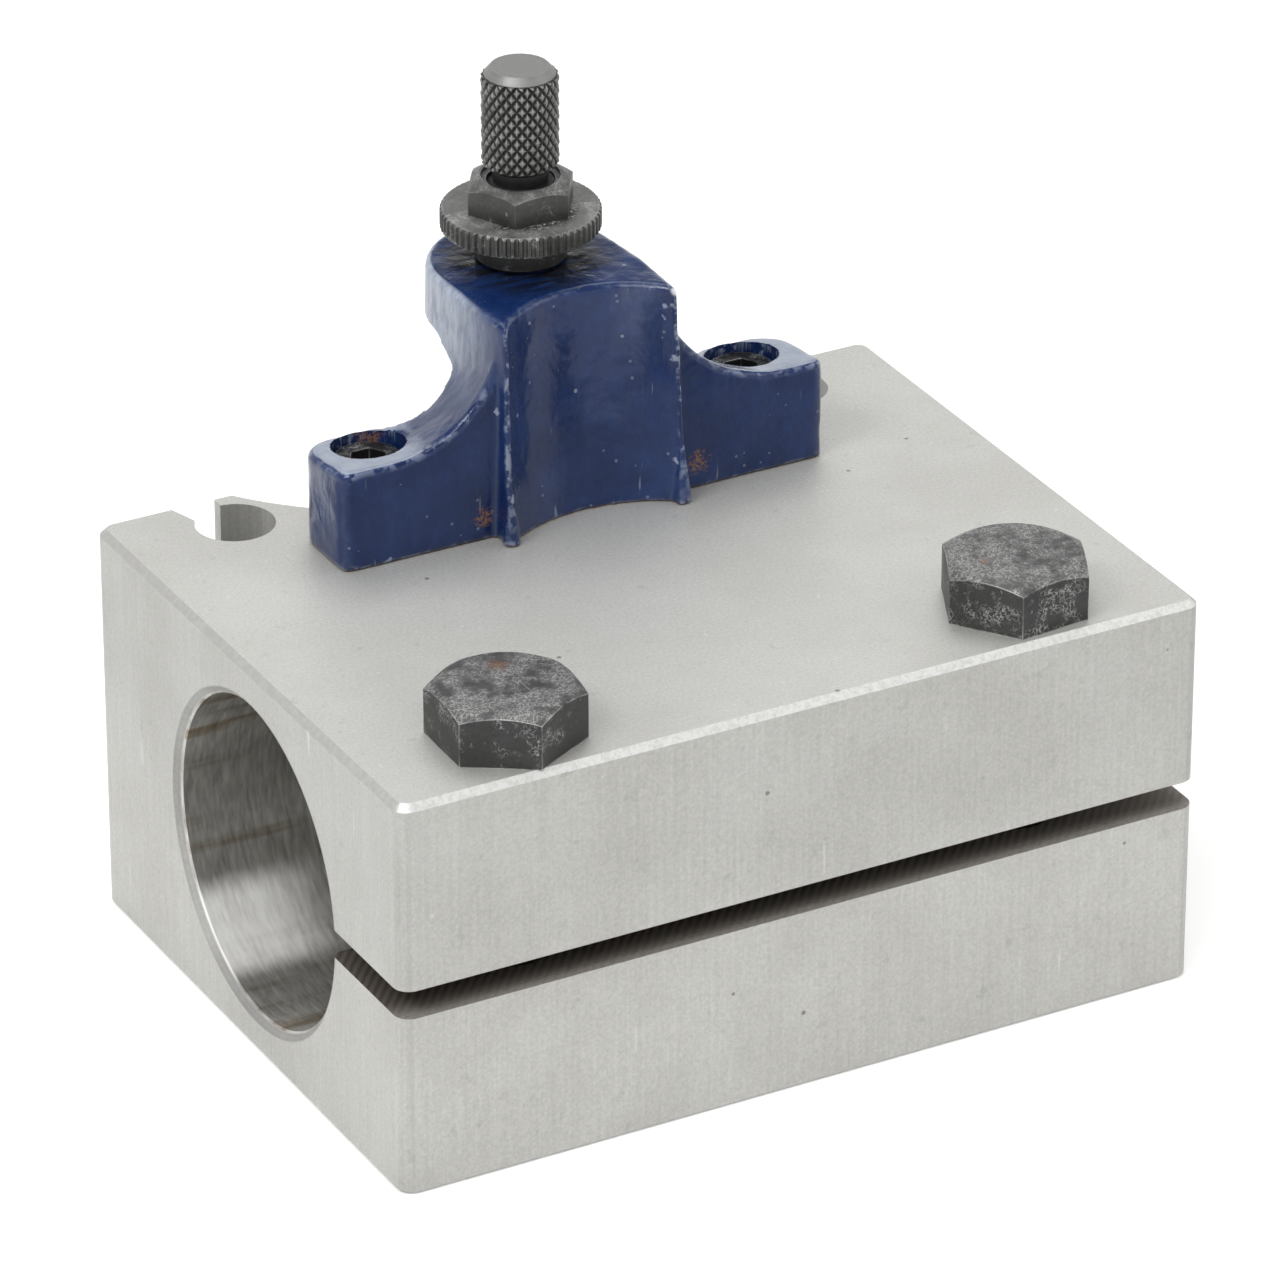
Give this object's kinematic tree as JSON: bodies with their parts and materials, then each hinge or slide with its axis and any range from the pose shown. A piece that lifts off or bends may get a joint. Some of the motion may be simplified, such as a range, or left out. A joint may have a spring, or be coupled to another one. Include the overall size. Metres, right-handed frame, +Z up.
{
  "type": "boring bar tool holder",
  "caption": "Split-clamp boring bar holder block with toothed hook back, cast bracket, height screw, lock nuts and two hexagon clamp bolts.",
  "frame": {"origin": "centre of the block's underside", "axes": "+X along the bore, +Y back at the tool post, +Z up along the height screw and the clamp bolts"},
  "size_m": [0.104, 0.0793, 0.1015],
  "materials": {
    "ground_steel": "ground and milled bare steel",
    "blue_enamel": "glossy deep blue enamel on a casting",
    "black_oxide": "scuffed black oxide",
    "phosphated_steel": "dark phosphated steel"
  },
  "bodies": {
    "holder": {"holder_block": "ground_steel", "height_bracket": "blue_enamel", "bracket_screw_left": "black_oxide", "bracket_screw_right": "black_oxide"},
    "clamp_bolt_left": {"clamp_bolt_left": "black_oxide"},
    "clamp_bolt_right": {"clamp_bolt_right": "black_oxide"},
    "height_screw": {"height_screw": "phosphated_steel"},
    "knurled_nut": {"knurled_nut": "phosphated_steel"},
    "lock_nut": {"lock_nut": "phosphated_steel"}
  },
  "joints": [
    {"name": "clamp_bolt_left_turn", "type": "hinge", "parent": "holder", "child": "clamp_bolt_left", "pos_m": [-0.0335, -0.0293, 0.05], "axis": [0, 0, 1], "range_deg": [0, 360]},
    {"name": "clamp_bolt_right_turn", "type": "hinge", "parent": "holder", "child": "clamp_bolt_right", "pos_m": [0.0325, -0.0293, 0.05], "axis": [0, 0, 1], "range_deg": [0, 360]},
    {"name": "height_screw_travel", "type": "slide", "parent": "holder", "child": "height_screw", "axis": [0, 0, 1], "range_m": [-0.0005, 0.006]},
    {"name": "knurled_nut_turn", "type": "hinge", "parent": "holder", "child": "knurled_nut", "pos_m": [-0.0004, 0.0293, 0.0774], "axis": [0, 0, 1], "range_deg": [0, 360]},
    {"name": "lock_nut_turn", "type": "hinge", "parent": "holder", "child": "lock_nut", "pos_m": [-0.0004, 0.0293, 0.0774], "axis": [0, 0, 1], "range_deg": [0, 360]}
  ]
}
